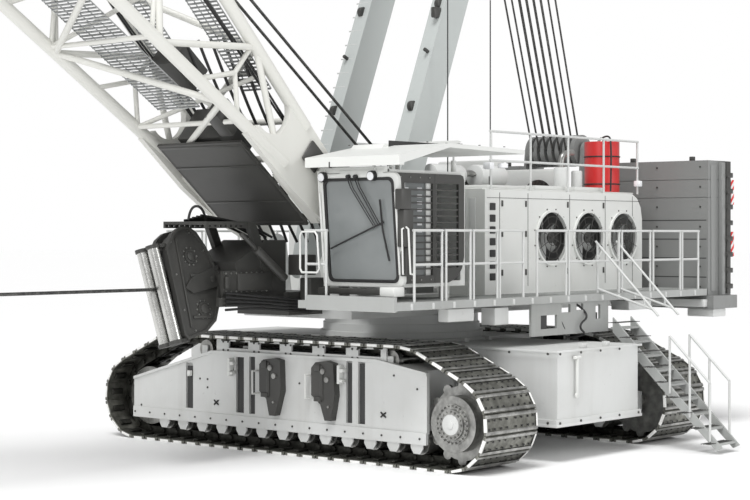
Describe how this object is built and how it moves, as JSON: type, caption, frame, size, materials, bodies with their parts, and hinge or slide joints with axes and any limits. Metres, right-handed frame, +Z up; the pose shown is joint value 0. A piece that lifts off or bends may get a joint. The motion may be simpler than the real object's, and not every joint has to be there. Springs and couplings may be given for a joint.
{
  "type": "dragline excavator",
  "caption": "Crawler dragline with a lattice boom, luffing mast, fairlead, winches, cab, machine houses, ballast and a hanging digging bucket.",
  "frame": {"origin": "on the ground under the slewing axis", "axes": "+X forward, the way the boom points; +Y to the operator's side; +Z up"},
  "size_m": [32.1834, 10.5222, 23.3832],
  "materials": {
    "frame_blue_grey": "satin",
    "body_white": "satin",
    "dark_steel": "satin",
    "worn_steel": "worn",
    "rope_steel": "greased",
    "glass_tint": "clear",
    "seat_fabric": "woven",
    "tank_red": "gloss",
    "grille_black": "matt",
    "rail_grey": "satin",
    "frame_white": "satin",
    "weight_grey": "satin"
  },
  "bodies": {
    "undercarriage": {"carbody": "frame_white", "carbody_ballast_left": "frame_white", "carbody_ballast_right": "frame_white", "crawler_frame_front": "frame_white", "crawler_frame_rear": "frame_white", "track_front": "worn_steel", "track_rear": "worn_steel", "track_wheels_front": "worn_steel", "track_wheels_rear": "worn_steel", "crawler_brackets": "dark_steel", "slew_ring_lower": "frame_blue_grey", "access_stair": "dark_steel", "stair_handrail_lower": "rail_grey"},
    "upper_works": {"slew_ring_upper": "frame_blue_grey", "upper_frame": "frame_blue_grey", "walkway_left": "dark_steel", "walkway_right": "dark_steel", "railing_left": "rail_grey", "railing_right": "rail_grey", "machine_house_left": "body_white", "machine_house_right": "body_white", "radiators": "grille_black", "engine": "dark_steel", "cab_shell": "body_white", "cab_glass": "glass_tint", "cab_seat": "seat_fabric", "cab_canopy": "body_white", "cab_side_guard": "dark_steel", "winch_frames": "dark_steel", "luffing_sheave_block": "dark_steel", "fire_tank": "tank_red", "counterweight_base": "dark_steel", "counterweight_left": "weight_grey", "counterweight_right": "weight_grey", "counterweight_centre": "weight_grey", "fairlead_frame": "dark_steel"},
    "boom": {"boom_foot_section": "body_white", "boom_foot_guard": "dark_steel", "boom_middle_section": "body_white", "boom_head_section": "body_white", "boom_pendants": "rope_steel"},
    "mast": {"luffing_mast": "body_white"},
    "boom_head_sheave_set": {"boom_head_sheaves": "worn_steel"},
    "hoist_line": {"hoist_rope": "rope_steel"},
    "bucket_rigging": {"hoist_chains": "rope_steel"},
    "bucket": {"bucket_shell": "worn_steel", "bucket_teeth": "worn_steel"},
    "drag_chain_set": {"drag_chain": "rope_steel"},
    "fairlead_swivel_head": {"fairlead_head": "dark_steel", "fairlead_rollers": "worn_steel"},
    "fairlead_upper_sheave": {"fairlead_sheave_upper": "worn_steel"},
    "fairlead_lower_sheave": {"fairlead_sheave_lower": "worn_steel"},
    "door": {"cab_door": "dark_steel"},
    "hoist_winch": {"hoist_drum": "worn_steel"},
    "drag_winch": {"drag_drum": "worn_steel"},
    "luffing_winch": {"luffing_drum": "worn_steel"},
    "fan_1": {"radiator_fan_1": "grille_black"},
    "fan_2": {"radiator_fan_2": "grille_black"},
    "fan_3": {"radiator_fan_3": "grille_black"}
  },
  "joints": [
    {"name": "slew", "type": "hinge", "parent": "undercarriage", "child": "upper_works", "pos_m": [0, 0, 2.2], "axis": [0, 0, 1], "continuous": true},
    {"name": "boom_luff", "type": "hinge", "parent": "upper_works", "child": "boom", "pos_m": [2.2, 0, 3.6], "axis": [0, -1, 0], "range_deg": [-5, 15]},
    {"name": "mast_luff", "type": "hinge", "parent": "upper_works", "child": "mast", "pos_m": [1.73, 0, 3.2], "axis": [0, -1, 0], "range_deg": [-5, 15]},
    {"name": "boom_head_sheaves_turn", "type": "hinge", "parent": "boom", "child": "boom_head_sheave_set", "pos_m": [25.26525, 0, 22.78317], "axis": [0, 1, 0], "continuous": true},
    {"name": "hoist_line_swing", "type": "hinge", "parent": "boom", "child": "hoist_line", "pos_m": [25.26525, 0, 22.78317], "axis": [0, -1, 0], "range_deg": [-15, 5]},
    {"name": "bucket_hoist", "type": "slide", "parent": "hoist_line", "child": "bucket_rigging", "axis": [0.3361, 0, 0.9418], "range_m": [0, 9]},
    {"name": "bucket_tip", "type": "hinge", "parent": "bucket_rigging", "child": "bucket", "pos_m": [20.3, 0, 2.8], "axis": [0, 1, 0], "range_deg": [-60, 15]},
    {"name": "drag_chain_lift", "type": "slide", "parent": "upper_works", "child": "drag_chain_set", "axis": [0.3361, 0, 0.9418], "range_m": [0, 9]},
    {"name": "fairlead_roll", "type": "hinge", "parent": "upper_works", "child": "fairlead_swivel_head", "pos_m": [4.95, 0, 2.95], "axis": [1, 0, 0], "range_deg": [-45, 15]},
    {"name": "fairlead_upper_sheave_turn", "type": "hinge", "parent": "fairlead_swivel_head", "child": "fairlead_upper_sheave", "pos_m": [5.53, -0.12941, 3.43296], "axis": [0, 0.9659, 0.2588], "continuous": true},
    {"name": "fairlead_lower_sheave_turn", "type": "hinge", "parent": "fairlead_swivel_head", "child": "fairlead_lower_sheave", "pos_m": [5.44, 0.10353, 2.56363], "axis": [0, 0.9659, 0.2588], "continuous": true},
    {"name": "cab_door_slide", "type": "slide", "parent": "upper_works", "child": "door", "axis": [-1, 0, 0], "range_m": [0, 0.8]},
    {"name": "hoist_winch_turn", "type": "hinge", "parent": "upper_works", "child": "hoist_winch", "pos_m": [0.3, 0, 4.35], "axis": [0, 1, 0], "continuous": true},
    {"name": "drag_winch_turn", "type": "hinge", "parent": "upper_works", "child": "drag_winch", "pos_m": [-1.25, 0, 4.35], "axis": [0, 1, 0], "continuous": true},
    {"name": "luffing_winch_turn", "type": "hinge", "parent": "upper_works", "child": "luffing_winch", "pos_m": [-3.6, 0, 4.35], "axis": [0, 1, 0], "continuous": true},
    {"name": "fan_1_turn", "type": "hinge", "parent": "upper_works", "child": "fan_1", "pos_m": [-1.5, 2.19, 3.78], "axis": [0, 1, 0], "continuous": true},
    {"name": "fan_2_turn", "type": "hinge", "parent": "upper_works", "child": "fan_2", "pos_m": [-2.72, 2.19, 3.78], "axis": [0, 1, 0], "continuous": true},
    {"name": "fan_3_turn", "type": "hinge", "parent": "upper_works", "child": "fan_3", "pos_m": [-3.94, 2.19, 3.78], "axis": [0, 1, 0], "continuous": true}
  ],
  "couplings": [
    {"joint": "mast_luff", "follows": "boom_luff", "ratio": 1},
    {"joint": "hoist_line_swing", "follows": "boom_luff", "ratio": -1},
    {"joint": "drag_chain_lift", "follows": "bucket_hoist", "ratio": 1}
  ]
}
